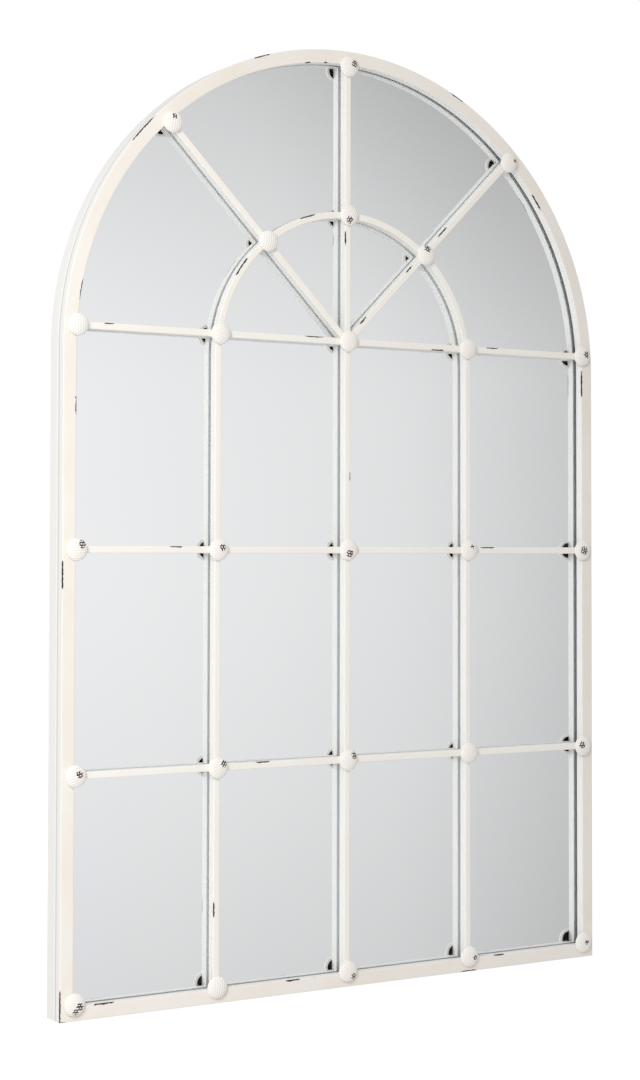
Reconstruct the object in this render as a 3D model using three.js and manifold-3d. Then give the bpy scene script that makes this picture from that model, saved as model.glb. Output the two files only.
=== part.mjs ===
import * as THREE from 'three';
import { mergeVertices } from 'three/addons/utils/BufferGeometryUtils.js';
import Module from 'manifold-3d';

// Arched window mirror: a sheet of mirror behind a welded steel window grille with domed rosettes.
// Millimetres, +Z up. The front faces -Y and the wall is the plane y = 0. Heights are measured from the
// bottom edge, and the finished group is lowered so that the origin lies on the wall, midway between the
// seats of the two keyholes.

// ---- Driving dimensions ----

// Overall outline: straight stiles below, a half circle above.
const WIDTH = 800;
const HEIGHT = 1200;

// Front frame, an L section: a flat face with a lip that wraps the edge of the glass.
const FACE_WIDTH = 17.5;
const LIP_WIDTH = 4;

// Rear rim, a strip of flat bar on edge behind the front frame.
const RIM_DEPTH = 20;
const RIM_THICKNESS = 3;

// Grille bars, as deep as the front frame's face.
const BAR_WIDTH = 8.5;
const BAR_DEPTH = 12;

// Grille layout: the hub lies just above the arch's spring, with three equal rows of panes below it, an
// inner hoop round the middle panes, and diagonals from the hub.
const HUB_RISE = 24;
const PANE_ROWS = 3;
const HOOP_RADIUS = 190;
const HOOP_SPRING_DROP = 27;
const DIAGONAL_ANGLE = Math.PI / 4;

// Rosettes: hollow domes set in from the outer edge of the frame.
const ROSETTE_RADIUS = 14;
const ROSETTE_HEIGHT = 8;
const ROSETTE_WALL = 1.2;
const STILE_ROSETTE_INSET = 18;
const RAIL_ROSETTE_INSET = 20;

// Mirror glass and the board behind it.
const GLASS_THICKNESS = 3;
const BOARD_THICKNESS = 6;
const SHEET_CLEARANCE = 0.5;

// Steel tabs welded inside the rim and bent over the board.
const TAB_THICKNESS = 1.5;
const TAB_WIDTH = 14;
const TAB_FOOT = 16;
const TAB_LEG = 9;
const TAB_WELD = 1;
const TABS_PER_STILE = 3;
const TAB_END_MARGIN = 100;
const BOTTOM_TAB_OFFSET = 200;
const ARCH_TAB_SPREAD = (54 * Math.PI) / 180;

// Keyhole plates at the stiles.
const KEYHOLE_BELOW_SPRING = 40;
const PLATE_WIDTH = 26;
const PLATE_HEIGHT = 46;
const PLATE_THICKNESS = 2;
const KEYHOLE_ENTRY_RADIUS = 5.5;
const KEYHOLE_SLOT_RADIUS = 2.75;
const KEYHOLE_DROP = 13;

// Gap kept between pieces that touch or are welded together.
const JOINT = 0.3;

// Facets: steps in a half circle of the frame, the hoop and a keyhole, round a rosette, and up its dome.
const ARCH_STEPS = 48;
const HOOP_STEPS = 32;
const KEYHOLE_STEPS = 12;
const ROSETTE_SIDES = 18;
const DOME_STEPS = 4;

// Mesh corners closer than this are one point.
const SAME_POINT = 1e-4;

// ---- Sizes that follow ----

const HALF_WIDTH = WIDTH / 2;
const SPRING = HEIGHT - HALF_WIDTH;
const HALF_BAR = BAR_WIDTH / 2;
const OPENING = HALF_WIDTH - FACE_WIDTH;
const RIM_INNER = HALF_WIDTH - RIM_THICKNESS;

// Depth planes, from the wall forward.
const LIP_BACK = -(RIM_DEPTH + JOINT);
const BOARD_FRONT = LIP_BACK;
const BOARD_BACK = BOARD_FRONT + BOARD_THICKNESS;
const GLASS_BACK = BOARD_FRONT - JOINT;
const GLASS_FRONT = GLASS_BACK - GLASS_THICKNESS;
const BAR_BACK = GLASS_FRONT - JOINT;
const FRONT = BAR_BACK - BAR_DEPTH;

// Heights of the hub, the rows from bottom rail to hub, the inner hoop's centre and the keyholes' seats.
const HUB = SPRING + HUB_RISE;
const ROW_PITCH = (HUB - RAIL_ROSETTE_INSET) / PANE_ROWS;
const ROWS = Array.from({ length: PANE_ROWS + 1 }, (_, row) => RAIL_ROSETTE_INSET + row * ROW_PITCH);
const HOOP_SPRING = HUB - HOOP_SPRING_DROP;
const KEYHOLE_HEIGHT = SPRING - KEYHOLE_BELOW_SPRING;

// ---- Solids ----

const wasm = await Module();
wasm.setup();

function toSolid(geometry) {
  const bare = geometry.clone();
  bare.deleteAttribute('normal');
  bare.deleteAttribute('uv');
  const merged = mergeVertices(bare, SAME_POINT);
  const mesh = new wasm.Mesh({
    numProp: 3,
    vertProperties: new Float32Array(merged.attributes.position.array),
    triVerts: new Uint32Array(merged.index.array),
  });
  return new wasm.Manifold(mesh);
}

function toGeometry(solid) {
  const mesh = solid.getMesh();
  const geometry = new THREE.BufferGeometry();
  geometry.setAttribute('position', new THREE.BufferAttribute(mesh.vertProperties, 3));
  geometry.setIndex(new THREE.BufferAttribute(mesh.triVerts, 1));
  geometry.computeVertexNormals();
  return geometry;
}

// A flat outline drawn in x and height, given depth forward from its back plane.
function sheet(outline, back, depth, steps = ARCH_STEPS) {
  const geometry = new THREE.ExtrudeGeometry(outline, {
    depth,
    bevelEnabled: false,
    curveSegments: steps / 2,
  });
  geometry.rotateX(Math.PI / 2);
  geometry.translate(0, back, 0);
  return geometry;
}

function block(x0, x1, y0, y1, z0, z1) {
  const geometry = new THREE.BoxGeometry(x1 - x0, y1 - y0, z1 - z0);
  geometry.translate((x0 + x1) / 2, (y0 + y1) / 2, (z0 + z1) / 2);
  return toSolid(geometry);
}

// ---- Outlines, in x and height ----

// The whole window outline, moved in from the outer edge.
function windowOutline(inset) {
  const half = HALF_WIDTH - inset;
  const outline = new THREE.Shape();
  outline.moveTo(-half, inset);
  outline.lineTo(half, inset);
  outline.lineTo(half, SPRING);
  outline.absarc(0, SPRING, half, 0, Math.PI, false);
  outline.closePath();
  return outline;
}

function windowRing(outerInset, innerInset) {
  const ring = windowOutline(outerInset);
  ring.holes.push(windowOutline(innerInset));
  return ring;
}

// A band of the inner hoop between two angles, measured from +x about the hoop's centre.
function hoopBand(halfWidth, from, to) {
  const band = new THREE.Shape();
  band.absarc(0, HOOP_SPRING, HOOP_RADIUS + halfWidth, from, to, false);
  band.absarc(0, HOOP_SPRING, HOOP_RADIUS - halfWidth, to, from, true);
  band.closePath();
  return band;
}

// A straight bar's outline from a start point along a direction.
function barOutline(x, z, angle, from, to, halfWidth) {
  const along = new THREE.Vector2(Math.cos(angle), Math.sin(angle));
  const across = new THREE.Vector2(-along.y, along.x);
  const corner = (distance, side) =>
    new THREE.Vector2(x, z).addScaledVector(along, distance).addScaledVector(across, side * halfWidth);
  return new THREE.Shape([corner(from, -1), corner(to, -1), corner(to, 1), corner(from, 1)]);
}

// Distance from the hub, along the diagonal, to a circle on the centre line.
function diagonalReach(centreHeight, radius) {
  const rise = HUB - centreHeight;
  const along = rise * Math.sin(DIAGONAL_ANGLE);
  return -along + Math.sqrt(along * along - rise * rise + radius * radius);
}

// Half the width of the hoop's centre line at a height.
function hoopHalfWidth(height) {
  const rise = Math.max(0, height - HOOP_SPRING);
  return Math.sqrt(HOOP_RADIUS * HOOP_RADIUS - rise * rise);
}

// ---- Cutters that leave the joint gap round a bar's neighbours ----

const bars = (outline) => toSolid(sheet(outline, BAR_BACK, BAR_DEPTH));
const clearOfFrame = bars(windowRing(-FACE_WIDTH, FACE_WIDTH + JOINT));
const clearOfCentre = block(-HALF_BAR - JOINT, HALF_BAR + JOINT, FRONT, BAR_BACK, 0, HEIGHT);
const clearOfSpringRow = block(
  -HALF_WIDTH, HALF_WIDTH, FRONT, BAR_BACK, HUB - HALF_BAR - JOINT, HUB + HALF_BAR + JOINT,
);

const HOOP_CUT = HALF_BAR + JOINT;
const clearOfHoop = toSolid(sheet(hoopBand(HOOP_CUT, 0, Math.PI), BAR_BACK, BAR_DEPTH, HOOP_STEPS))
  .add(block(-HOOP_RADIUS - HOOP_CUT, -HOOP_RADIUS + HOOP_CUT, FRONT, BAR_BACK, 0, HOOP_SPRING))
  .add(block(HOOP_RADIUS - HOOP_CUT, HOOP_RADIUS + HOOP_CUT, FRONT, BAR_BACK, 0, HOOP_SPRING));

// ---- Finishes ----

const CREAM_PAINT = { color: 0xf3ebe0, roughness: 0.55, metalness: 0.0 };
const MIRROR = { color: 0xd9dcdd, roughness: 0.02, metalness: 1.0 };
const FIBREBOARD = { color: 0x8a6b4a, roughness: 0.85, metalness: 0.0 };
const PLATED_STEEL = { color: 0xb9b6ae, roughness: 0.35, metalness: 0.9 };

const mirror = new THREE.Group();

function addPart(name, geometry, finish) {
  const mesh = new THREE.Mesh(geometry, new THREE.MeshStandardMaterial(finish));
  mesh.name = name;
  mirror.add(mesh);
  return mesh;
}

// ---- Front frame and rear rim, each cut from one ring into arch, two stiles and a bottom rail ----

function cutRing(ring, innerHalf, front, back) {
  const reach = HALF_WIDTH + FACE_WIDTH;
  const regions = [
    block(-reach, reach, front, back, SPRING, HEIGHT + FACE_WIDTH),
    block(-reach, -innerHalf, front, back, -FACE_WIDTH, SPRING - JOINT),
    block(innerHalf, reach, front, back, -FACE_WIDTH, SPRING - JOINT),
    block(-innerHalf + JOINT, innerHalf - JOINT, front, back, -FACE_WIDTH, SPRING / 2),
  ];
  return regions.map((region) => ring.intersect(region));
}

function addFrontFrame() {
  const face = toSolid(sheet(windowRing(0, FACE_WIDTH), BAR_BACK, BAR_DEPTH));
  const lip = toSolid(sheet(windowRing(0, LIP_WIDTH), LIP_BACK, LIP_BACK - FRONT));
  const members = cutRing(face.add(lip), OPENING, FRONT, LIP_BACK);
  const names = ['front_arch', 'front_stile_left', 'front_stile_right', 'front_bottom_rail'];
  members.forEach((member, i) => addPart(names[i], toGeometry(member), CREAM_PAINT));
}

// Where each tab stands: its rim member, a point on the rim's inner wall and the outward direction there.
function tabPlaces() {
  const places = [];
  const span = SPRING - 2 * TAB_END_MARGIN;
  for (const side of [-1, 1]) {
    for (let i = 0; i < TABS_PER_STILE; i += 1) {
      const z = TAB_END_MARGIN + (i * span) / (TABS_PER_STILE - 1);
      places.push({ member: side < 0 ? 1 : 2, x: side * RIM_INNER, z, angle: side > 0 ? 0 : Math.PI });
    }
    places.push({ member: 3, x: side * BOTTOM_TAB_OFFSET, z: RIM_THICKNESS, angle: -Math.PI / 2 });
  }
  for (const turn of [-1, 0, 1]) {
    const angle = Math.PI / 2 + turn * ARCH_TAB_SPREAD;
    const [x, z] = [RIM_INNER * Math.cos(angle), SPRING + RIM_INNER * Math.sin(angle)];
    places.push({ member: 0, x, z, angle });
  }
  return places;
}

// An angle whose leg is welded to the rim's wall and whose foot lies over the board.
function tab(place) {
  const front = BOARD_BACK + JOINT;
  const outline = new THREE.Shape();
  outline.moveTo(TAB_WELD, front);
  outline.lineTo(TAB_WELD, front + TAB_LEG);
  outline.lineTo(-TAB_THICKNESS, front + TAB_LEG);
  outline.lineTo(-TAB_THICKNESS, front + TAB_THICKNESS);
  outline.lineTo(-TAB_FOOT, front + TAB_THICKNESS);
  outline.lineTo(-TAB_FOOT, front);
  outline.closePath();
  const geometry = new THREE.ExtrudeGeometry(outline, { depth: TAB_WIDTH, bevelEnabled: false });
  geometry.translate(0, 0, -TAB_WIDTH / 2);
  geometry.rotateY(-place.angle);
  geometry.translate(place.x, 0, place.z);
  return toSolid(geometry);
}

function addRearRim() {
  const ring = toSolid(sheet(windowRing(0, RIM_THICKNESS), 0, RIM_DEPTH));
  const members = cutRing(ring, RIM_INNER, -RIM_DEPTH, 0);
  for (const place of tabPlaces()) {
    members[place.member] = members[place.member].add(tab(place));
  }
  const names = ['rear_rim_arch', 'rear_rim_left', 'rear_rim_right', 'rear_rim_bottom'];
  members.forEach((member, i) => addPart(names[i], toGeometry(member), CREAM_PAINT));
}

function addGlassAndBoard() {
  const glass = windowOutline(LIP_WIDTH + SHEET_CLEARANCE);
  addPart('mirror_glass', sheet(glass, GLASS_BACK, GLASS_THICKNESS), MIRROR);
  const board = windowOutline(RIM_THICKNESS + SHEET_CLEARANCE);
  addPart('backing_board', sheet(board, BOARD_BACK, BOARD_THICKNESS), FIBREBOARD);
}

// ---- Grille ----

function addVerticals() {
  const centre = block(-HALF_BAR, HALF_BAR, FRONT, BAR_BACK, 0, HEIGHT).subtract(clearOfFrame);
  addPart('centre_bar', toGeometry(centre), CREAM_PAINT);
  for (const [side, name] of [[-1, 'left'], [1, 'right']]) {
    const x = side * HOOP_RADIUS;
    const leg = block(x - HALF_BAR, x + HALF_BAR, FRONT, BAR_BACK, 0, HOOP_SPRING - JOINT);
    addPart(`hoop_leg_${name}`, toGeometry(leg.subtract(clearOfFrame)), CREAM_PAINT);
    const [from, to] = side < 0 ? [Math.PI / 2, Math.PI] : [0, Math.PI / 2];
    const arc = toSolid(sheet(hoopBand(HALF_BAR, from, to), BAR_BACK, BAR_DEPTH, HOOP_STEPS / 2));
    addPart(`hoop_arc_${name}`, toGeometry(arc.subtract(clearOfCentre)), CREAM_PAINT);
  }
}

// Each row is four short bars, fitted between the frame, the hoop and the centre bar.
function addRows() {
  const spans = ['far_left', 'left', 'right', 'far_right'];
  const rows = [[1, 'lower_bar'], [2, 'middle_bar'], [3, 'spring_bar']];
  for (const [row, name] of rows) {
    const height = ROWS[row];
    const columns = [-HALF_WIDTH, -HOOP_RADIUS, 0, HOOP_RADIUS, HALF_WIDTH];
    spans.forEach((span, i) => {
      const bar = block(
        columns[i], columns[i + 1], FRONT, BAR_BACK, height - HALF_BAR, height + HALF_BAR,
      );
      const fitted = bar.subtract(clearOfFrame).subtract(clearOfHoop).subtract(clearOfCentre);
      addPart(`${name}_${span}`, toGeometry(fitted), CREAM_PAINT);
    });
  }
}

const REACH_TO_HOOP = diagonalReach(HOOP_SPRING, HOOP_RADIUS);
const REACH_TO_ARCH = diagonalReach(SPRING, HALF_WIDTH - RAIL_ROSETTE_INSET);

function addDiagonals() {
  for (const [side, name] of [[-1, 'left'], [1, 'right']]) {
    const angle = Math.PI / 2 - side * (Math.PI / 2 - DIAGONAL_ANGLE);
    const inner = bars(barOutline(0, HUB, angle, 0, REACH_TO_HOOP, HALF_BAR))
      .subtract(clearOfHoop).subtract(clearOfCentre).subtract(clearOfSpringRow);
    addPart(`inner_diagonal_${name}`, toGeometry(inner), CREAM_PAINT);
    const outer = bars(barOutline(0, HUB, angle, REACH_TO_HOOP, REACH_TO_ARCH + RAIL_ROSETTE_INSET, HALF_BAR))
      .subtract(clearOfHoop).subtract(clearOfFrame);
    addPart(`outer_diagonal_${name}`, toGeometry(outer), CREAM_PAINT);
  }
}

// ---- Rosettes: thin domes whose rims rest on the front of the grille ----

function rosetteGeometry() {
  const profile = [];
  for (let i = 0; i <= DOME_STEPS; i += 1) {
    const turn = (Math.PI / 2) * (i / DOME_STEPS);
    const radius = i === DOME_STEPS ? 0 : (ROSETTE_RADIUS - ROSETTE_WALL) * Math.cos(turn);
    profile.unshift(new THREE.Vector2(radius, (ROSETTE_HEIGHT - ROSETTE_WALL) * Math.sin(turn)));
  }
  for (let i = 0; i <= DOME_STEPS; i += 1) {
    const turn = (Math.PI / 2) * (i / DOME_STEPS);
    const radius = i === DOME_STEPS ? 0 : ROSETTE_RADIUS * Math.cos(turn);
    profile.push(new THREE.Vector2(radius, ROSETTE_HEIGHT * Math.sin(turn)));
  }
  const geometry = new THREE.LatheGeometry(profile, ROSETTE_SIDES);
  geometry.rotateX(Math.PI);
  return toGeometry(toSolid(geometry));
}

function rosettePlaces() {
  const edge = HALF_WIDTH - STILE_ROSETTE_INSET;
  const places = [];
  ROWS.forEach((height, row) => {
    const hoop = hoopHalfWidth(height);
    [-edge, -hoop, 0, hoop, edge].forEach((x, column) => {
      places.push([`rosette_row${row + 1}_${column + 1}`, x, height]);
    });
  });
  const diagonal = (reach, side) => [
    side * reach * Math.cos(DIAGONAL_ANGLE),
    HUB + reach * Math.sin(DIAGONAL_ANGLE),
  ];
  places.push(['rosette_arch_left', ...diagonal(REACH_TO_ARCH, -1)]);
  places.push(['rosette_arch_crown', 0, HEIGHT - RAIL_ROSETTE_INSET]);
  places.push(['rosette_arch_right', ...diagonal(REACH_TO_ARCH, 1)]);
  places.push(['rosette_hoop_left', ...diagonal(REACH_TO_HOOP, -1)]);
  places.push(['rosette_hoop_crown', 0, HOOP_SPRING + HOOP_RADIUS]);
  places.push(['rosette_hoop_right', ...diagonal(REACH_TO_HOOP, 1)]);
  return places;
}

function addRosettes() {
  for (const [name, x, height] of rosettePlaces()) {
    const rosette = addPart(name, rosetteGeometry(), CREAM_PAINT);
    rosette.position.set(x, FRONT - JOINT, height);
  }
}

// ---- Keyhole plates, welded inside the stiles' rims ----

// A keyhole's outline: a round entry below a narrow slot whose closed end is the seat.
function keyhole(x, seat) {
  const meet = Math.asin(KEYHOLE_SLOT_RADIUS / KEYHOLE_ENTRY_RADIUS);
  const hole = new THREE.Path();
  hole.absarc(x, seat, KEYHOLE_SLOT_RADIUS, 0, Math.PI, false);
  const [from, to] = [Math.PI / 2 + meet, (5 * Math.PI) / 2 - meet];
  hole.absarc(x, seat - KEYHOLE_DROP, KEYHOLE_ENTRY_RADIUS, from, to, false);
  hole.closePath();
  return hole;
}

function addKeyholePlates() {
  const middle = KEYHOLE_HEIGHT - KEYHOLE_DROP / 2;
  for (const [side, name] of [[-1, 'left'], [1, 'right']]) {
    const x = side * (RIM_INNER - JOINT - PLATE_WIDTH / 2);
    const outline = barOutline(x, middle, 0, -PLATE_WIDTH / 2, PLATE_WIDTH / 2, PLATE_HEIGHT / 2);
    outline.holes.push(keyhole(x, KEYHOLE_HEIGHT));
    addPart(`keyhole_plate_${name}`, sheet(outline, 0, PLATE_THICKNESS, KEYHOLE_STEPS), PLATED_STEEL);
  }
}

addFrontFrame();
addRearRim();
addGlassAndBoard();
addVerticals();
addRows();
addDiagonals();
addRosettes();
addKeyholePlates();

// The origin is on the wall, midway between the keyholes' seats.
mirror.position.z = -KEYHOLE_HEIGHT;

export default mirror;
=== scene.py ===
# %% [markdown]
# # Arched window mirror
# A sheet of mirror behind a welded steel window grille, painted cream and rubbed through to dark metal
# at its edges. The grille is a half-round frame with a centre bar, an inner hoop, three rows of short
# bars, two diagonals and 26 domed rosettes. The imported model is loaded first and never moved: every new
# surface below is worked out from the same sizes and lies where its solid lies.

# %% Load the frame
import math

import bpy
import numpy as np
from mathutils import Matrix, Vector


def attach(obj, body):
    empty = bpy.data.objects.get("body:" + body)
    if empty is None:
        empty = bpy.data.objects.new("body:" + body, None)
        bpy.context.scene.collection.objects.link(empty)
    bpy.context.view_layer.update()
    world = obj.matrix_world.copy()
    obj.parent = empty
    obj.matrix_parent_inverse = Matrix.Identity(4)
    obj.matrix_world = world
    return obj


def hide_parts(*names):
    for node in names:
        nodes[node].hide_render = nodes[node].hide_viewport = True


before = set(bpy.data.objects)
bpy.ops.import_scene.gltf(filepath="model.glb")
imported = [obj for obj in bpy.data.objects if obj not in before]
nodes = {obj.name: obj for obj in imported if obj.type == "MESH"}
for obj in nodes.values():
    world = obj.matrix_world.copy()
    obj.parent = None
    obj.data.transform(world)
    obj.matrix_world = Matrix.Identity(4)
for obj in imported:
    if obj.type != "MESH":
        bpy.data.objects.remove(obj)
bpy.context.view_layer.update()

# %% [markdown]
# ## Sizes
# The shapes repeat the sizes of the solids, in millimetres with heights above the bottom edge. `place`
# turns them into metres in the frame, whose origin is on the wall at the height of the keyholes. Depths are
# along Y: the wall is at 0 and the front faces at FRONT. Rosettes sit CROSSING_INSET in from the outer edge
# on the foot and the arch, and STILE_INSET in on the stiles.

# %% Sizes in millimetres
HALF_WIDTH, HEIGHT = 400.0, 1200.0
SPRING = HEIGHT - HALF_WIDTH
FACE = 17.5
LIP = 4.0
RIM_DEPTH, RIM_WALL = 20.0, 3.0
HALF_BAR = 4.25
FRONT, BAR_BACK, SILVER, LIP_BACK, BOARD_BACK = -35.9, -23.9, -20.75, -20.3, -14.3
SHEET_CLEARANCE = 0.5
CROSSING_INSET, STILE_INSET = 20.0, 18.0
HUB_RISE, HOOP_DROP, KEYHOLE_DROP = 24.0, 27.0, 40.0
HUB = SPRING + HUB_RISE
ROWS = [CROSSING_INSET + row * (HUB - CROSSING_INSET) / 3 for row in range(4)]
HOOP_RADIUS = 190.0
HOOP_SPRING = HUB - HOOP_DROP
ROSETTE_HEIGHT, ROSETTE_WALL = 8.0, 1.2
KEYHOLES = SPRING - KEYHOLE_DROP
METRE = 0.001


def place(points):
    """Millimetres with heights from the bottom edge, turned into metres in the frame."""
    return (np.asarray(points, float) - (0.0, 0.0, KEYHOLES)) * METRE


print("rows at", ROWS, "hub at", HUB)

# %% [markdown]
# ## Camera
# The photograph is taken from the left, a little below the middle, with a long lens. The camera could be
# aimed with a Track To constraint, but a place and three angles worked out from the rosettes are exact,
# so its matrix is built from them. The small vertical shift keeps the uprights nearly upright.

# %% Camera
FOCAL_PIXELS, AXIS_ROW = 2102.5, 480.0
PHOTO_HEIGHT = 1080.0
CAMERA_PLACE = (-1450.2, -2310.9, 555.3)
YAW, PITCH, ROLL = math.radians(31.759), math.radians(1.922), math.radians(0.112)

ahead = Vector((math.sin(YAW) * math.cos(PITCH), math.cos(YAW) * math.cos(PITCH), math.sin(PITCH)))
level = Vector((math.cos(YAW), -math.sin(YAW), 0.0))
upward = level.cross(ahead)
across = level * math.cos(ROLL) + upward * math.sin(ROLL)
upright = upward * math.cos(ROLL) - level * math.sin(ROLL)

camera = bpy.data.objects.new("camera", bpy.data.cameras.new("camera"))
bpy.context.scene.collection.objects.link(camera)
turn = Matrix((across, upright, -ahead)).transposed().to_4x4()
camera.matrix_world = Matrix.Translation(Vector(place(CAMERA_PLACE))) @ turn
camera.data.sensor_width = 36.0
camera.data.lens = FOCAL_PIXELS * camera.data.sensor_width / PHOTO_HEIGHT
camera.data.shift_y = -(PHOTO_HEIGHT / 2 - AXIS_ROW) / PHOTO_HEIGHT
camera.data.clip_start, camera.data.clip_end = 0.01, 60.0
bpy.context.scene.camera = camera
print("lens", round(camera.data.lens, 2), "mm, shift", round(camera.data.shift_y, 4))

# %% [markdown]
# ## Node helpers
# A finish is a small tree of shader nodes. It could be clicked together in the Shader Editor, but written
# out it can be read and changed. `add_node` adds one node and fills its sockets, and the other helpers
# stand for what the trees use most: sums and products, a mix of two colours, a smooth step and a noise.


# %% Helpers for materials
def add_node(tree, kind, inputs=None, **settings):
    """One shader node: settings are its own options, inputs are values or links by socket name or number."""
    node = tree.nodes.new("ShaderNode" + kind)
    for name, value in settings.items():
        setattr(node, name, value)
    for socket, value in (inputs or {}).items():
        if isinstance(value, bpy.types.NodeSocket):
            tree.links.new(value, node.inputs[socket])
        else:
            node.inputs[socket].default_value = value
    return node


def empty_finish(name):
    """A material that holds only its output, and the node tree to build in."""
    finish = bpy.data.materials.new(name)
    finish.use_nodes = True
    finish.node_tree.nodes.clear()
    return finish, finish.node_tree


def arithmetic(tree, operation, first, second):
    """first (operation) second, as one Math node's output."""
    return add_node(tree, "Math", {0: first, 1: second}, operation=operation).outputs[0]


def blend_colours(tree, amount, below, above, kind="MIX"):
    """Colour below, covered by colour above where amount is 1.

    The Mix node keeps a set of sockets for each kind of data: 6, 7 and the third output are colours.
    """
    mix = add_node(tree, "Mix", {0: amount, 6: below, 7: above}, data_type="RGBA", blend_type=kind)
    return mix.outputs[2]


def step_between(tree, value, low, high):
    """0 below low and 1 above high, with a smooth rise between them."""
    node = add_node(tree, "MapRange", {"Value": value, "From Min": low, "From Max": high},
                    interpolation_type="SMOOTHSTEP")
    return node.outputs["Result"]


def speckle(tree, scale, detail=3.0, stretch=(1.0, 1.0, 1.0), roughness=0.5):
    """A noise with features of about 1 / scale metres, read from Object coordinates."""
    where = add_node(tree, "TexCoord").outputs["Object"]
    stretched = add_node(tree, "Mapping", {"Vector": where, "Scale": stretch}).outputs["Vector"]
    noise = add_node(tree, "TexNoise", {"Vector": stretched, "Scale": scale, "Detail": detail,
                                        "Roughness": roughness})
    return noise.outputs["Fac"]


def finish_with(tree, shader):
    """Joins a shader to the material's output."""
    tree.links.new(shader.outputs[0], add_node(tree, "OutputMaterial").inputs["Surface"])


# %% [markdown]
# ## Studio
# The photograph has a pure white surround and no visible shadow. The floor lies well below the mirror, as
# below one that hangs on a wall, and both floor and world turn white for the camera, for glossy rays and
# for glass, while the light that falls on the object stays soft and plain. The floor still shades under
# the object.


# %% Floor and world
def background_ray(tree):
    """1 where a camera, glossy or transmission ray looks, 0 for the light that falls on the object."""
    path = add_node(tree, "LightPath").outputs
    glossy = arithmetic(tree, "MAXIMUM", path["Is Camera Ray"], path["Is Glossy Ray"])
    return arithmetic(tree, "MAXIMUM", glossy, path["Is Transmission Ray"])


WHITE = (1.0, 1.0, 1.0, 1.0)
SKY_LIGHT = 0.57
world = bpy.data.worlds.new("studio")
bpy.context.scene.world = world
world.use_nodes = True
sky = world.node_tree
sky.nodes.clear()
soft = add_node(sky, "Background", {"Color": WHITE, "Strength": SKY_LIGHT})
plain = add_node(sky, "Background", {"Color": WHITE, "Strength": 1.0})
choice = add_node(sky, "MixShader", {"Fac": background_ray(sky), 1: soft.outputs[0], 2: plain.outputs[0]})
sky.links.new(choice.outputs[0], add_node(sky, "OutputWorld").inputs["Surface"])

FLOOR_DROP = 900.0
FLOOR_REACH = 14000.0
FLOOR_GREY, FLOOR_LIFT = (0.8, 0.8, 0.8, 1.0), 0.58
floor_mesh = bpy.data.meshes.new("floor")
floor_corners = place([(x * FLOOR_REACH, y * FLOOR_REACH, -FLOOR_DROP)
                       for x, y in ((-1, -1), (1, -1), (1, 1), (-1, 1))])
floor_mesh.from_pydata(floor_corners.tolist(), [], [(0, 1, 2, 3)])
floor = bpy.data.objects.new("floor", floor_mesh)
bpy.context.scene.collection.objects.link(floor)

floor_finish, tree = empty_finish("pale_floor")
matt = add_node(tree, "BsdfDiffuse", {"Color": FLOOR_GREY})
lift = add_node(tree, "Emission", {"Color": WHITE, "Strength": FLOOR_LIFT})
lifted = add_node(tree, "AddShader", {0: matt.outputs[0], 1: lift.outputs[0]})
finish_with(tree, add_node(tree, "MixShader", {"Fac": background_ray(tree), 1: matt.outputs[0],
                                               2: lifted.outputs[0]}))
floor_finish.cycles.emission_sampling = "NONE"
floor_mesh.materials.append(floor_finish)
print("floor", FLOOR_DROP, "mm below the mirror")

# %% [markdown]
# ## Grey card
# A mirror has no colour of its own: it shows the room on the far side of the camera. In the photograph
# that room is an even grey that darkens to the right, to the top and a little to the bottom. A curved card
# stands round the front of the mirror, where only reflections see it, and carries that slow change of grey.
# A colour ramp could hold it, but a few smooth steps say it better: round the card the grey falls slowly
# all the way and faster where the dark side of the room begins, and it falls again below and above the
# middle. Higher up the dark side comes nearer. The glass is a little green, so the card is a little warm
# and the grey stays neutral. Light that has already left a painted surface meets a brighter card, so that
# the bars' sides and backs get the light that a white studio throws under them.


# %% Curved card that only the mirror sees
CARD_RADIUS, CARD_FOOT, CARD_TOP = 2400.0, -880.0, 3000.0
CARD_HALF_TURN = 100.0
CARD_STEPS, CARD_ROWS = 72, 12
turns = np.radians(np.linspace(-CARD_HALF_TURN, CARD_HALF_TURN, CARD_STEPS))
levels = np.linspace(CARD_FOOT, CARD_TOP, CARD_ROWS)
turn_grid, level_grid = np.meshgrid(turns, levels, indexing="ij")
card_points = place(np.stack([CARD_RADIUS * np.sin(turn_grid), -CARD_RADIUS * np.cos(turn_grid),
                              level_grid], axis=-1)).reshape(-1, 3)
card_starts = (np.arange(CARD_STEPS - 1)[:, None] * CARD_ROWS + np.arange(CARD_ROWS - 1)[None, :]).ravel()
card_faces = np.stack([card_starts, card_starts + CARD_ROWS, card_starts + CARD_ROWS + 1,
                       card_starts + 1], axis=-1)
card_mesh = bpy.data.meshes.new("grey_card")
card_mesh.from_pydata(card_points.tolist(), [], card_faces.tolist())
card = bpy.data.objects.new("grey_card", card_mesh)
bpy.context.scene.collection.objects.link(card)
card.visible_camera = card.visible_diffuse = card.visible_shadow = False

print("card", len(card_faces), "faces")

# %% The card's grey
# A fall is the grey that is lost and where it starts and ends: in degrees round the card, or in metres
# below and above the keyholes.
CARD_GREY = 0.93
SLOW_FALL, DARK_SIDE = (0.285, 0.0, 70.0), (0.15, 34.0, 51.0)
FALL_BELOW, FALL_ABOVE = (0.30, 0.15, 2.25), (0.29, 0.10, 1.55)
LEAN_START, LEAN_DEGREES = 0.2, 14.0
GLOW = 0.35
CARD_WARMTH = (1.021, 1.0, 1.006, 1.0)


def dimmed(tree, grey, value, fall, start, end):
    """A grey less fall times a smooth step, which runs from 0 to 1 as value goes from start to end."""
    step = step_between(tree, value, start, end)
    return arithmetic(tree, "SUBTRACT", grey, arithmetic(tree, "MULTIPLY", step, fall))


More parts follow.
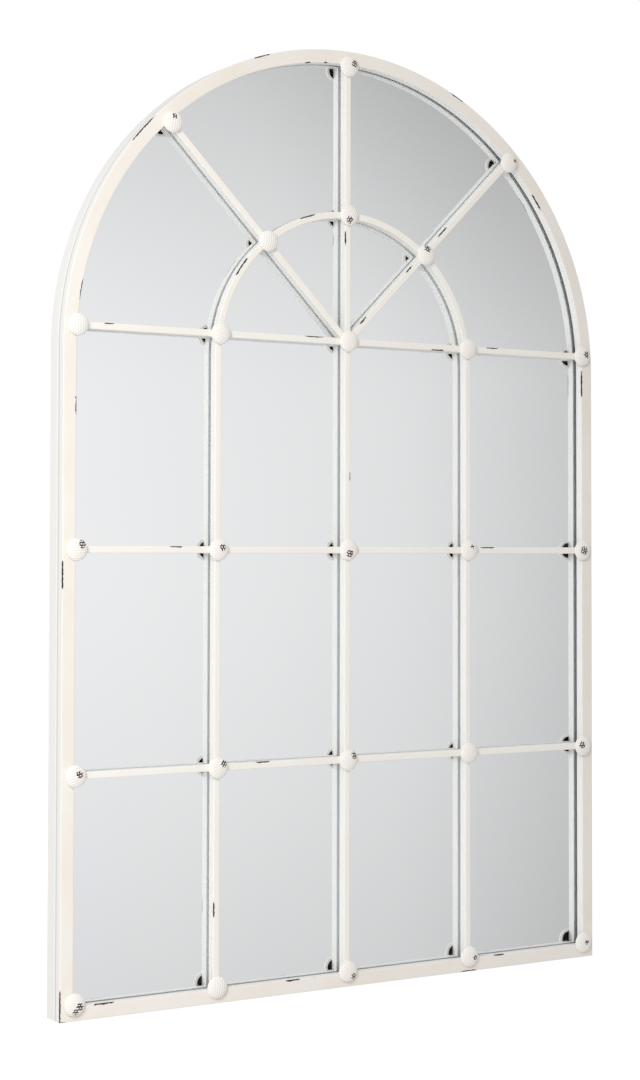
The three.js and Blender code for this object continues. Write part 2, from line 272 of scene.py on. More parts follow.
card_finish, tree = empty_finish("card_grey")
card_spot = add_node(tree, "TexCoord").outputs["Object"]
axes = add_node(tree, "SeparateXYZ", {"Vector": card_spot}).outputs
bearing = arithmetic(tree, "ARCTAN2", axes["X"], arithmetic(tree, "MULTIPLY", axes["Y"], -1.0))
lean = arithmetic(tree, "MAXIMUM", arithmetic(tree, "SUBTRACT", axes["Z"], LEAN_START), 0.0)
leaning = arithmetic(tree, "ADD", bearing, arithmetic(tree, "MULTIPLY", lean, math.radians(LEAN_DEGREES)))
around = CARD_GREY
for fall, start, end in (SLOW_FALL, DARK_SIDE):
    around = dimmed(tree, around, leaning, fall, math.radians(start), math.radians(end))
upwards = dimmed(tree, 1.0, arithmetic(tree, "MULTIPLY", axes["Z"], -1.0), *FALL_BELOW)
upwards = dimmed(tree, upwards, axes["Z"], *FALL_ABOVE)
grey = arithmetic(tree, "MULTIPLY", around, upwards)
shaded = blend_colours(tree, 1.0, grey, CARD_WARMTH, "MULTIPLY")
bounced = arithmetic(tree, "MINIMUM", add_node(tree, "LightPath").outputs["Diffuse Depth"], 1.0)
strength = arithmetic(tree, "ADD", 1.0, arithmetic(tree, "MULTIPLY", bounced, GLOW))
finish_with(tree, add_node(tree, "Emission", {"Color": shaded, "Strength": strength}))
card_finish.cycles.emission_sampling = "NONE"
card_mesh.materials.append(card_finish)
print("card grey", CARD_GREY, "straight ahead")

# %% [markdown]
# ## Lamps
# The left sides of the bars are the palest, and the front faces darken slowly to the right. So one large
# soft lamp stands to the left and is turned along the mirror, which spreads its light over the width. A
# second lamp in front with a narrow spread fits the faces a little better, but leaves a grain of noise. A
# sun would light all of it alike, and a small lamp would draw hard shadows.


# %% Lamps
def softbox(name, spot, aim, size, power):
    """A square area lamp of a size in metres at a point in millimetres, turned towards another point."""
    lamp = bpy.data.lights.new(name, "AREA")
    lamp.shape, lamp.size, lamp.energy = "SQUARE", size, power
    holder = bpy.data.objects.new(name, lamp)
    holder.location = Vector(place(spot))
    holder.rotation_euler = (Vector(place(aim)) - holder.location).to_track_quat("-Z", "Y").to_euler()
    bpy.context.scene.collection.objects.link(holder)
    holder.visible_glossy = False
    print(name, "of", power, "W")


softbox("key_lamp", spot=(-1900.0, -1750.0, 1390.0), aim=(-2000.0, 0.0, 230.0), size=1.3, power=53.0)

# %% [markdown]
# ## Meshes from grids
# Every new surface is a grid of points worked out as one array. `shell_faces` gives the faces that close
# such a grid: the columns always wrap round the section, the rows either wrap round a ring or end in caps.
# The sign of the enclosed volume says whether the faces point outwards, and they are turned if they don't.


# %% Closed meshes from grids of points
def shell_faces(rows, columns, ring, start=0):
    """Quads between neighbours of a rows by columns grid, and two end caps where it isn't a ring."""
    row, column = np.meshgrid(np.arange(rows if ring else rows - 1), np.arange(columns), indexing="ij")
    after, beside = (row + 1) % rows, (column + 1) % columns
    quads = np.stack([row * columns + column, after * columns + column,
                      after * columns + beside, row * columns + beside], axis=-1).reshape(-1, 4) + start
    if ring:
        return quads.tolist()
    first = np.arange(columns) + start
    last = first + (rows - 1) * columns
    return quads.tolist() + [first.tolist(), last[::-1].tolist()]


def enclosed_volume(points, faces):
    """Six times the volume inside: the sum of first . (second x third) over the triangles of each face."""
    total = 0.0
    for corners in {len(face) for face in faces}:
        table = np.array([face for face in faces if len(face) == corners])
        first = points[table[:, 0]][:, None]
        second, third = points[table[:, 1:-1]], points[table[:, 2:]]
        total += float((first * np.cross(second, third)).sum())
    return total


def make_piece(name, points, faces, marks=None, sharp=40.0):
    """A piece of the mirror from points in millimetres, faces, and values kept at each point."""
    points = np.asarray(points, float).reshape(-1, 3)
    if enclosed_volume(points, faces) < 0.0:
        faces = [face[::-1] for face in faces]
    mesh = bpy.data.meshes.new(name)
    mesh.from_pydata(place(points).tolist(), [], faces)
    mesh.shade_smooth()
    mesh.set_sharp_from_angle(angle=math.radians(sharp))
    for label, values in (marks or {}).items():
        layer = mesh.attributes.new(label, "FLOAT", "POINT")
        layer.data.foreach_set("value", np.asarray(values, np.float32).ravel())
    piece = bpy.data.objects.new(name, mesh)
    bpy.context.scene.collection.objects.link(piece)
    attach(piece, "root")
    return piece


def finish_piece(piece, finish, slot, *replaced):
    """Gives a piece its material, and hides the solids it stands for. The slot is not used."""
    piece.data.materials.append(finish)
    if replaced:
        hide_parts(*replaced)


# %% [markdown]
# ## Rounded sections
# Real bars have no knife edges: hot-rolled steel is a little round, and paint rounds it more. A Bevel
# modifier could do that, but then the wear marks couldn't be set at exact points of the edge. So each
# section is drawn with its corners already rounded, and split finely next to its front edges.


# %% A section with round corners
def rounded_section(corners, radii, longest=2.0, arc_steps=4):
    """A closed section of right-angled corners, each turned into a quarter circle of its own radius.

    Every corner gives arc_steps + 1 points on a circle that touches both sides; the straight runs
    between them are split so that no step is longer than `longest`.
    """
    corners = np.asarray(corners, float)
    radii = np.asarray(radii, float)[:, None]
    back = np.roll(corners, 1, axis=0) - corners
    on = np.roll(corners, -1, axis=0) - corners
    back /= np.linalg.norm(back, axis=1, keepdims=True)
    on /= np.linalg.norm(on, axis=1, keepdims=True)
    centre = corners + radii * (back + on)
    sweep = np.linspace(0.0, math.pi / 2, arc_steps + 1)
    arcs = (centre[:, None] - radii[:, None] * (on[:, None] * np.cos(sweep)[None, :, None]
                                                + back[:, None] * np.sin(sweep)[None, :, None]))
    runs = []
    for here, following in zip(arcs, np.roll(arcs, -1, axis=0)):
        span = np.linalg.norm(following[0] - here[-1])
        pieces = max(1, math.ceil(span / longest))
        share = np.arange(1, pieces)[:, None] / pieces
        runs += [here, here[-1] * (1 - share) + following[0] * share]
    return np.concatenate(runs)


bar_section = rounded_section(
    [(-HALF_BAR, BAR_BACK), (-HALF_BAR, FRONT), (HALF_BAR, FRONT), (HALF_BAR, BAR_BACK)],
    radii=[0.5, 0.8, 0.8, 0.5])
print("a bar's section has", len(bar_section), "points")

# %% [markdown]
# ## Where the paint has rubbed through
# The makers sand the painted edges until the dark metal shows in short strokes. Each stroke is listed by
# its place on the mirror, its half length and the side of the bar that it is on. `rubbing` is 1 along such
# a stroke and falls off in about a millimetre, and a faint rubbing runs along every front edge. The paint
# reads it as a point attribute and breaks it up with a fine noise. A second attribute, `facing`, is 1 on the
# front and falls to 0 round the edge, because the faces and the sides are painted in two tones.


# %% Rubbing along the edges
STROKE_REACH = 1.5
FAINT_RUBBING = 0.16
FACING_DEPTH = 1.5


def rubbing(points, depth, edges, strokes):
    """How far the paint is rubbed, 0 to 1, at each point of a grid.

    edges gives the distance across the section to the front edge of each side, strokes are
    (x, height, half length, side). Along a stroke the value is exp(-(distance / half length) ** 6).
    """
    depth_off = np.abs(depth - FRONT)
    near = {side: np.exp(-(np.hypot(gap, depth_off) / STROKE_REACH) ** 2) for side, gap in edges.items()}
    worn_and_shade = FAINT_RUBBING * np.maximum.reduce(list(near.values())) * np.ones(points.shape[:2])
    for x, height, reach, side in strokes:
        distance = np.hypot(points[..., 0] - x, points[..., 2] - height)
        worn_and_shade = np.maximum(worn_and_shade, near[side] * np.exp(-(distance / reach) ** 6))
    return worn_and_shade


def facing_forward(depth):
    """1 on the front face, and less by 1 / FACING_DEPTH for each millimetre behind it, down to 0."""
    return np.clip(1.0 - (depth - FRONT) / FACING_DEPTH, 0.0, 1.0)


# %% [markdown]
# ## Cream paint
# The finish is a chalky cream over dark metal: warmer on the faces that were wiped with a tinted wax,
# whiter on the sides, with slow mottling, fine brush grain in the bump, and dark chips where it is
# rubbed. The chips lie a little lower than the paint, so they also go into the bump.


# %% Cream paint
DARK_METAL = (0.040, 0.030, 0.026, 1.0)
# Dark of the unpainted insides of the rosettes, also laid on the back of the frame's face as painted shade.
BARE_CASTING_AND_SHADE = (0.085, 0.080, 0.085, 1.0)
BRUSHED_TONE, BROWN_HALO = (0.62, 0.54, 0.45, 1.0), (0.42, 0.33, 0.25, 1.0)
MOTTLE_SCALE, PATCH_SCALE, DENT_SCALE, GRAIN_SCALE = 9.0, 55.0, 160.0, 900.0


def cream_paint(name, face_colour, side_colour, wax_colour, waxed, chip_scale=260.0, ragged=1.4):
    """Chalk paint that reads the attributes rubbed, facing and hollow from its piece. In the rosettes' crease
    the rubbing is a painted contact shadow. Hollow is the bare metal inside the rosettes, and on the back of
    the frame's face it is painted shade.

    waxed is the wax's strength, and ragged says how far the noise of the chips moves their outlines.
    The scales are of noise: its features are about 1 / scale metres.
    """
    finish, tree = empty_finish(name)
    rubbed_and_shade = add_node(tree, "Attribute", attribute_name="rubbed_and_shade").outputs["Fac"]
    facing = add_node(tree, "Attribute", attribute_name="facing").outputs["Fac"]
    hollow = add_node(tree, "Attribute", attribute_name="hollow").outputs["Fac"]

    mottle = step_between(tree, speckle(tree, MOTTLE_SCALE, 4.0), 0.35, 0.68)
    patches = step_between(tree, speckle(tree, PATCH_SCALE, 3.0), 0.45, 0.75)
    wax = arithmetic(tree, "MULTIPLY", arithmetic(tree, "ADD", arithmetic(tree, "MULTIPLY", mottle, 0.7),
                                                  arithmetic(tree, "MULTIPLY", patches, 0.3)), waxed)
    base = blend_colours(tree, facing, side_colour, face_colour)
    base = blend_colours(tree, arithmetic(tree, "MULTIPLY", wax, facing), base, wax_colour)
    grain = speckle(tree, GRAIN_SCALE, 2.0)
    brushed = arithmetic(tree, "MULTIPLY", step_between(tree, grain, 0.5, 0.8), 0.10)
    base = blend_colours(tree, brushed, base, BRUSHED_TONE)

    flakes = arithmetic(tree, "SUBTRACT", speckle(tree, chip_scale, 5.0, roughness=0.65), 0.5)
    # The rubbing also carries a painted contact shadow in the rosettes' crease.
    worn_and_shade = arithmetic(tree, "ADD", rubbed_and_shade, arithmetic(tree, "MULTIPLY", flakes, ragged))
    chips = step_between(tree, worn_and_shade, 0.46, 0.56)
    halo = step_between(tree, worn_and_shade, 0.30, 0.50)
    # The brown halo also draws that painted contact shadow in the rosettes' crease.
    base = blend_colours(tree, arithmetic(tree, "MULTIPLY", halo, 0.35), base, BROWN_HALO)
    base = blend_colours(tree, chips, base, DARK_METAL)
    # Hollow darkens the paint: bare metal inside the rosettes, and painted shade on the back of the frame's
    # face.
    base = blend_colours(tree, hollow, base, BARE_CASTING_AND_SHADE)

    dents = arithmetic(tree, "MULTIPLY", speckle(tree, DENT_SCALE, 1.0), 0.3)
    height = arithmetic(tree, "SUBTRACT", dents, arithmetic(tree, "MULTIPLY", chips, 0.5))
    bump = add_node(tree, "Bump", {"Strength": 0.2, "Distance": 0.0003, "Height": height})
    rough = arithmetic(tree, "ADD", 0.50, arithmetic(tree, "MULTIPLY", grain, 0.12))
    rough = arithmetic(tree, "ADD", rough, arithmetic(tree, "MULTIPLY", chips, 0.08))
    finish_with(tree, add_node(tree, "BsdfPrincipled", {
        "Base Color": base, "Roughness": rough, "Specular IOR Level": 0.35, "Normal": bump.outputs[0]}))
    return finish


FACE_CREAM, SIDE_CREAM = (0.910, 0.867, 0.808, 1.0), (0.885, 0.880, 0.860, 1.0)
BAR_CREAM, PALE_WAX = (0.945, 0.918, 0.860, 1.0), (0.90, 0.83, 0.73, 1.0)
WAX_CREAM = (0.86, 0.78, 0.68, 1.0)
frame_paint = cream_paint("frame_paint", FACE_CREAM, SIDE_CREAM, WAX_CREAM, waxed=0.55)
rim_paint = cream_paint("rim_paint", FACE_CREAM, SIDE_CREAM, WAX_CREAM, waxed=0.2)
bar_paint = cream_paint("bar_paint", BAR_CREAM, SIDE_CREAM, PALE_WAX, waxed=0.4)
print("paints for the frame, the rim and the bars")

# %% [markdown]
# ## Front frame
# The front frame is an L section bent to the window's outline and mitred at the foot. Its welds are
# filled and painted over, so it shows as one continuous ring. A curve object with a bevel profile could
# draw it, but a grid gives exact mitres: every section point has an inset, and the window outline of
# that inset is known in closed form. The back of its face is painted darker, as painted shade for the thin
# dark gap that shows there in the mirror.


# %% Window outline for any inset
def window_ring(insets, step=3.0):
    """Rows of points round the window for an array of insets: foot, right stile, arch, left stile.

    At inset d the foot is at height d, the stiles at x = +-(half width - d), and the arch is a half
    circle of that radius about the spring. Returns arrays of x and height, rows by insets.
    """
    half = HALF_WIDTH - insets[None, :]
    foot = np.linspace(-1.0, 1.0, round(2 * HALF_WIDTH / step), endpoint=False)[:, None]
    rise = np.linspace(0.0, 1.0, round(SPRING / step), endpoint=False)[:, None]
    swing = np.linspace(0.0, math.pi, round(math.pi * HALF_WIDTH / step), endpoint=False)[:, None]
    lift = insets[None, :] + rise * (SPRING - insets[None, :])
    x = np.concatenate([foot * half, half + 0 * rise, half * np.cos(swing), -half + 0 * rise])
    height = np.concatenate([insets[None, :] + 0 * foot, lift, SPRING + half * np.sin(swing),
                             (SPRING + insets[None, :]) - lift])
    return x, height


def ring_points(section):
    """The grid of a section of (inset, depth) points carried round the window."""
    x, height = window_ring(section[:, 0])
    return np.stack([x, np.broadcast_to(section[:, 1], x.shape), height], axis=-1)


# %% Front frame
FACE_GAP = 0.4
FACE_BACK = BAR_BACK - FACE_GAP
# The share of that dark laid on the back of the frame's face: painted shade for the gap seen in the mirror.
SHADED_BACK = 0.4
frame_section = rounded_section(
    [(0.0, LIP_BACK), (0.0, FRONT), (FACE, FRONT), (FACE, FACE_BACK), (LIP, FACE_BACK), (LIP, LIP_BACK)],
    radii=[0.5, 0.9, 0.9, 0.4, 0.2, 0.2])
frame_points = ring_points(frame_section)
FRAME_STROKES = [
    (-296.0, 1069.0, 23.0, "outer"), (-128.0, 1180.0, 14.0, "outer"), (172.0, 1161.0, 13.0, "outer"),
    (-400.0, 526.0, 18.0, "outer"), (-400.0, 18.0, 20.0, "outer"), (191.0, 0.0, 14.0, "outer"),
    (-376.0, 866.0, 15.0, "inner"), (-61.0, 1177.0, 4.0, "inner"), (-34.0, 1180.0, 4.0, "inner"),
    (304.0, 1030.0, 14.0, "inner"), (382.5, 786.0, 19.0, "inner"), (-382.5, 728.0, 11.0, "inner"),
    (-343.0, 17.5, 15.0, "inner"), (-80.0, 17.5, 11.0, "inner"), (240.0, 17.5, 10.0, "inner"),
]
inset, depth = frame_section.T
# The back of the frame's face gets painted shade.
on_face_back = (np.abs(depth - FACE_BACK) < 0.1) & (inset < FACE - 1.0)
front_frame = make_piece(
    "front_frame_painted", frame_points, shell_faces(*frame_points.shape[:2], True),
    {"rubbed_and_shade": rubbing(frame_points, depth, {"outer": inset, "inner": inset - FACE}, FRAME_STROKES),
     "facing": np.broadcast_to(facing_forward(depth), frame_points.shape[:2]),
     "hollow": np.broadcast_to(SHADED_BACK * on_face_back, frame_points.shape[:2])})
finish_piece(front_frame, frame_paint, "frame_paint",
             "front_arch", "front_stile_left", "front_stile_right", "front_bottom_rail")
print("front frame", len(front_frame.data.polygons), "faces")

# %% [markdown]
# ## Rear rim and its tabs
# Behind the front frame runs a strip of flat bar on edge. A fine seam between the two shows along the
# left side. Inside it are the steel tabs that hold the board: each is a short strip with one round bend,
# drawn as a section and carried across its own width. `rubbing` measures depth from FRONT, so the rim's
# depths are moved until its own front edge lies there.

# %% Rear rim
RIM_FACING = 0.25
rim_section = rounded_section(
    [(0.0, 0.0), (0.0, -RIM_DEPTH), (RIM_WALL, -RIM_DEPTH), (RIM_WALL, 0.0)], radii=[0.4, 0.5, 0.3, 0.3])
rim_points = ring_points(rim_section)
inset, depth = rim_section.T
rear_rim = make_piece(
    "rear_rim_painted", rim_points, shell_faces(*rim_points.shape[:2], True),
    {"rubbed_and_shade": rubbing(rim_points, depth + RIM_DEPTH + FRONT, {"outer": inset}, []),
     "facing": np.full(rim_points.shape[:2], RIM_FACING)})
finish_piece(rear_rim, rim_paint, "rim_paint",
             "rear_rim_arch", "rear_rim_left", "rear_rim_right", "rear_rim_bottom")
print("rear rim", len(rear_rim.data.polygons), "faces")

# %% Tabs that hold the board
TAB_THICKNESS, TAB_WIDTH, TAB_FOOT, TAB_LEG, TAB_WELD = 1.5, 14.0, 16.0, 9.0, 1.0
TAB_GAP = 0.3
STILE_TABS, FOOT_TAB, ARCH_TABS = (100.0, 400.0, 700.0), 200.0, (36.0, 90.0, 144.0)
rim_inside = HALF_WIDTH - RIM_WALL
tab_front = BOARD_BACK + TAB_GAP
tab_section = rounded_section(
    [(TAB_WELD, tab_front), (TAB_WELD, tab_front + TAB_LEG), (-TAB_THICKNESS, tab_front + TAB_LEG),
     (-TAB_THICKNESS, tab_front + TAB_THICKNESS), (-TAB_FOOT, tab_front + TAB_THICKNESS),
     (-TAB_FOOT, tab_front)],
    radii=[1.8, 0.5, 0.5, 0.4, 0.5, 0.5])
widths = np.linspace(-TAB_WIDTH / 2, TAB_WIDTH / 2, 9)
tab_places = [(side * rim_inside, height, 0.0 if side > 0 else math.pi)
              for side in (-1, 1) for height in STILE_TABS]
tab_places += [(side * FOOT_TAB, RIM_WALL, -math.pi / 2) for side in (-1, 1)]
tab_places += [(rim_inside * math.cos(angle), SPRING + rim_inside * math.sin(angle), angle)
               for angle in np.radians(ARCH_TABS)]
tab_size = len(widths) * len(tab_section)
tab_points, tab_faces = [], []
for count, (x, height, angle) in enumerate(tab_places):
    outward = np.array([math.cos(angle), 0.0, math.sin(angle)])
    sideways = np.array([-math.sin(angle), 0.0, math.cos(angle)])
    grid = (np.array([x, 0.0, height]) + tab_section[None, :, :1] * outward
            + widths[:, None, None] * sideways + tab_section[None, :, 1:] * np.array([0.0, 1.0, 0.0]))
    tab_points.append(grid.reshape(-1, 3))
    tab_faces += shell_faces(len(widths), len(tab_section), False, count * tab_size)
tabs = make_piece("board_tabs", np.concatenate(tab_points), tab_faces,
                  {"facing": np.full(len(tab_places) * tab_size, RIM_FACING)})
finish_piece(tabs, rim_paint, "rim_paint")
print(len(tab_places), "tabs")

# %% [markdown]
# ## Bars of the grille
# Each bar is a flat section on edge, welded between its neighbours and painted over. Its ends run a
# little way into what it meets, and each family of bars lies about a tenth of a millimetre deeper than the
# last, so that no two faces share a plane where they cross.


# %% Bars along a path
BURIED = 1.5
DEEPER = 0.12
CENTRE_FAMILY, HOOP_FAMILY, ROW_FAMILY, DIAGONAL_FAMILY = 1, 2, 3, 4
BAR_STEP, HOOP_STEPS = 3.0, 200


def bar_grid(path, normals, deeper):
    """A bar's section carried along a path: each point is path + across * normal, at its own depth."""
    grid = np.empty((len(path), len(bar_section), 3))
    grid[..., 0] = path[:, None, 0] + bar_section[None, :, 0] * normals[:, None, 0]
    grid[..., 1] = bar_section[None, :, 1] + deeper
    grid[..., 2] = path[:, None, 1] + bar_section[None, :, 0] * normals[:, None, 1]
    return grid


def straight_path(start, end):
    """Points from start to end about BAR_STEP apart, and the normal to their left."""
    start, end = np.asarray(start, float), np.asarray(end, float)
    length = np.linalg.norm(end - start)
    share = np.linspace(0.0, 1.0, max(3, round(length / BAR_STEP)))[:, None]
    along = (end - start) / length
    path = start * (1 - share) + end * share
    return path, np.broadcast_to([-along[1], along[0]], path.shape)


def make_bar(name, path, normals, family, strokes, *replaced):
    """One painted bar. Its strokes are on its left or right side, looking along the path."""
    grid = bar_grid(path, normals, family * DEEPER)
    offset, depth = bar_section.T
    edges = {"left": offset - HALF_BAR, "right": offset + HALF_BAR}
    bar = make_piece(name, grid, shell_faces(*grid.shape[:2], False),
                     {"rubbed_and_shade": rubbing(grid, depth, edges, strokes),
                      "facing": np.broadcast_to(facing_forward(depth), grid.shape[:2])})
    finish_piece(bar, bar_paint, "bar_paint", *replaced)


# %% Centre bar and hoop
CENTRE_STROKES = [(-4.0, 958.0, 10.0, "left"), (4.0, 650.0, 7.0, "right")]
HOOP_STROKES = [(-194.0, 115.0, 10.0, "right"), (-158.0, 910.0, 15.0, "right"), (-62.0, 981.0, 14.0, "right")]
make_bar("centre_bar_painted", *straight_path((0.0, FACE - BURIED), (0.0, HEIGHT - FACE + BURIED)),
         CENTRE_FAMILY, CENTRE_STROKES, "centre_bar")

leg = np.arange(FACE - BURIED, HOOP_SPRING, BAR_STEP)
swing = np.linspace(0.0, math.pi, HOOP_STEPS)
hoop_path = np.concatenate([
    np.stack([np.full(len(leg), HOOP_RADIUS), leg], axis=-1),
    np.stack([HOOP_RADIUS * np.cos(swing), HOOP_SPRING + HOOP_RADIUS * np.sin(swing)], axis=-1),
    np.stack([np.full(len(leg), -HOOP_RADIUS), leg[::-1]], axis=-1)])
hoop_normals = np.concatenate([
    np.broadcast_to([-1.0, 0.0], (len(leg), 2)),
    np.stack([-np.cos(swing), -np.sin(swing)], axis=-1),
    np.broadcast_to([1.0, 0.0], (len(leg), 2))])
make_bar("hoop_painted", hoop_path, hoop_normals, HOOP_FAMILY, HOOP_STROKES,
         "hoop_leg_left", "hoop_leg_right", "hoop_arc_left", "hoop_arc_right")
print("hoop of", len(hoop_path), "steps")


# %% Rows of short bars
def hoop_half_width(height):
    """Half the hoop's width at a height, on its centre line."""
    rise = max(0.0, height - HOOP_SPRING)
    return math.sqrt(HOOP_RADIUS ** 2 - rise ** 2)


ROW_STROKES = {
    "lower_bar_left": [(-125.0, 293.0, 11.0, "left")],
    "middle_bar_far_left": [(-248.0, 560.0, 10.0, "left")],
    "middle_bar_far_right": [(222.0, 560.0, 12.0, "left")],
    "spring_bar_far_left": [(-340.0, 828.0, 6.0, "left")],
    "spring_bar_left": [(-50.0, 828.0, 15.0, "left")],
    "spring_bar_right": [(141.0, 820.0, 11.0, "right")],
    "spring_bar_far_right": [(230.0, 828.0, 11.0, "left")],
}
row_end = HALF_WIDTH - FACE + BURIED
for row, height in zip(("lower", "middle", "spring"), ROWS[1:]):
    hoop = hoop_half_width(height)
    spans = {"far_left": (-row_end, -hoop), "left": (-hoop, 0.0),
             "right": (0.0, hoop), "far_right": (hoop, row_end)}
    for span, (start, end) in spans.items():
        node = f"{row}_bar_{span}"
        make_bar(node + "_painted", *straight_path((start, height), (end, height)), ROW_FAMILY,
                 ROW_STROKES.get(node, []), node)
print("rows at", ROWS[1:])


# %% Diagonals
def reach_along_diagonal(centre, radius):
    """Distance from the hub along 45 degrees to a circle of that radius about (0, centre).

    It solves distance ** 2 + 2 * along * distance + rise ** 2 = radius ** 2, where rise is the hub's
    height above the centre and along is its share in the diagonal's direction.
    """
    rise = HUB - centre
    along = rise * math.sin(math.pi / 4)
    return -along + math.sqrt(along ** 2 - rise ** 2 + radius ** 2)


TO_HOOP = reach_along_diagonal(HOOP_SPRING, HOOP_RADIUS)
TO_ARCH = reach_along_diagonal(SPRING, HALF_WIDTH - CROSSING_INSET)
TO_FACE = reach_along_diagonal(SPRING, HALF_WIDTH - FACE + BURIED)
DIAGONAL_STROKES = {"inner_diagonal_right": [(99.0, 921.0, 9.0, "left"), (24.0, 852.0, 7.0, "left")],
                    "outer_diagonal_right": [(149.0, 978.0, 11.0, "left")]}
SLOPE = math.sqrt(0.5)
for side, hand in ((-1, "left"), (1, "right")):
    for part_name, start, end in (("inner", 0.0, TO_HOOP), ("outer", TO_HOOP, TO_FACE)):
        node = f"{part_name}_diagonal_{hand}"
        ends = [(side * reach * SLOPE, HUB + reach * SLOPE) for reach in (start, end)]
        make_bar(node + "_painted", *straight_path(*ends), DIAGONAL_FAMILY,
                 DIAGONAL_STROKES.get(node, []), node)
print("diagonals reach", round(TO_HOOP, 1), "and", round(TO_ARCH, 1), "mm")

# %% [markdown]
# ## Rosettes
# Each crossing carries a cast dome the size of a large coin, covered with soft beads in parallel rows. It
# bulges a little past its foot and is hollow behind: in the mirror its dark inside shows as a half moon
# with a pale rim. A displacement texture could raise the beads, but their shape is wanted in the mesh, so
# the dome is worked out over the angle from its axis and the turn round it, and sinks wherever no bead
# covers it. Paint wears on the beads of a spot, and the marks are listed by their place from the rosette's
# middle and their size. The grooves and the crease round the foot get more of the warm wax tone: wax that
# gathers there, and painted shade as well. The crease also gets a faint brown rubbing, a painted contact
# shadow.


# %% Beaded dome
BELLY_RADIUS, BELLY_HEIGHT, FOOT_RADIUS, LIP_RADIUS = 13.7, 2.2, 11.8, 10.2
BEAD_ROW, BEAD_LENGTH, BEAD_DEPTH, BEAD_FALL = 3.3, 3.9, 0.5, 0.7
FOOT_FADE, CREASE_HEIGHT, PALE_RIM = 0.35, 1.2, 0.9
DOME_TURNS, DOME_ROWS, INNER_ROWS = 160, 52, 8


def beads(along, beside):
    """How far a bead stands up, 0 to 1, over millimetres along and across the rows.

    Rows are BEAD_ROW apart and every other row is moved by half a bead. A bead is the top of a paraboloid:
    1 - BEAD_FALL * (distance along / half length) ** 2 - (distance across / half row) ** 2.
    """
    row = np.round(beside / BEAD_ROW)
    step = along / BEAD_LENGTH + 0.5 * np.mod(row, 2.0)
    off_middle, off_row = 2.0 * (step - np.round(step)), 2.0 * (beside / BEAD_ROW - row)
    return np.clip(1.0 - BEAD_FALL * off_middle ** 2 - off_row ** 2, 0.0, 1.0)


def dome_grid():
    """Rows from the top of the dome down its outside, round the foot and up to the top of its inside.

    The outside is an ellipse in radius and height down to the belly, and a second, shorter one below it:
    radius = belly radius * sin(angle), height = belly height + half axis * cos(angle). Returned are each
    point's radius, height and turn, and how far it is a groove, the dark inside and the foot's crease.
    """
    foot_angle = math.pi - math.asin(FOOT_RADIUS / BELLY_RADIUS)
    lean = np.linspace(0.0, foot_angle, DOME_ROWS)[:, None]
    half_axis = np.where(lean < math.pi / 2, ROSETTE_HEIGHT - BELLY_HEIGHT,
                         -BELLY_HEIGHT / math.cos(foot_angle))
    radius, height = BELLY_RADIUS * np.sin(lean), BELLY_HEIGHT + half_axis * np.cos(lean)
    steps = np.hypot(np.diff(radius[:, 0]), np.diff(height[:, 0]))
    run = np.concatenate([[0.0], np.cumsum(steps)])[:, None]
    turn = np.linspace(0.0, 2 * math.pi, DOME_TURNS, endpoint=False)[None, :]
    raised = beads(run * np.cos(turn), run * np.sin(turn))
    fade = np.clip((foot_angle - lean) / FOOT_FADE, 0.0, 1.0)
    groove = (1.0 - raised) * fade
    outward = np.stack([half_axis * np.sin(lean), BELLY_RADIUS * np.cos(lean)])
    outward /= np.linalg.norm(outward, axis=0)
    out_radius = radius - outward[0] * BEAD_DEPTH * groove
    out_height = height - outward[1] * BEAD_DEPTH * groove
    inside = np.linspace(0.0, math.pi / 2, INNER_ROWS)[:, None]
    in_radius = LIP_RADIUS * np.cos(inside) + 0 * turn
    in_height = (ROSETTE_HEIGHT - BEAD_DEPTH - ROSETTE_WALL) * np.sin(inside) + 0 * turn
    crease = np.clip(1.0 - height / CREASE_HEIGHT, 0.0, 1.0) + 0 * turn
    hollow = np.clip(in_height / PALE_RIM, 0.0, 1.0)
    none = np.zeros_like(in_radius)
    return (np.concatenate([out_radius, in_radius]), np.concatenate([out_height, in_height]),
            turn + np.zeros((DOME_ROWS + INNER_ROWS, 1)), np.concatenate([groove, none]),
            np.concatenate([0 * groove, hollow]), np.concatenate([crease, none]))


dome_radius, dome_height, dome_angle, dome_groove, dome_hollow, dome_crease = dome_grid()
dome_rows = len(dome_radius)
print("a dome has", dome_rows, "rows of", DOME_TURNS, "points")


def dome_faces():
    """Quads down the dome, and the points of its first and last rows, which fans to a middle point close."""
    quads = [face for face in shell_faces(dome_rows, DOME_TURNS, False) if len(face) == 4]
    top, bottom = np.arange(DOME_TURNS), np.arange(DOME_TURNS) + (dome_rows - 1) * DOME_TURNS
    return quads, top, bottom


# %% Worn spots of the rosettes
WORN_ROSETTES = {
    "row1_1": [(5.0, -2.0, 5.0), (0.0, -8.0, 4.0)], "row3_1": [(5.0, 6.5, 5.0)], "row3_2": [(3.0, 3.0, 4.5)],
    "row3_3": [(-1.0, -4.5, 5.0)], "row3_5": [(-1.0, 0.0, 6.0)], "arch_crown": [(5.5, 3.5, 5.0)],
    "row2_1": [(3.0, 2.0, 4.5)], "row2_2": [(6.0, 5.0, 4.5)], "row2_3": [(7.0, 6.0, 5.0)],
    "row4_5": [(3.5, 2.0, 5.0)], "arch_left": [(0.5, 6.0, 3.5)], "arch_right": [(7.0, 2.5, 3.0)],
    "hoop_crown": [(-1.5, -6.5, 4.5)], "row1_4": [(6.0, -1.0, 3.5)], "row1_3": [(6.0, -6.0, 4.0)],
    "row2_5": [(-5.0, 2.0, 5.0)], "row1_5": [(2.0, 1.0, 3.5)], "hoop_right": [(0.0, 8.5, 5.0)],
    "row3_4": [(2.0, 5.0, 3.0)],
}
WORN_REACH = 1.15
# The last value rubs a faint brown into the crease round the foot: a painted contact shadow.
WORN_EVENLY, WORN_GROOVES, CREASE_SHADE = 0.22, 0.83, 0.2
print(len(WORN_ROSETTES), "worn rosettes")

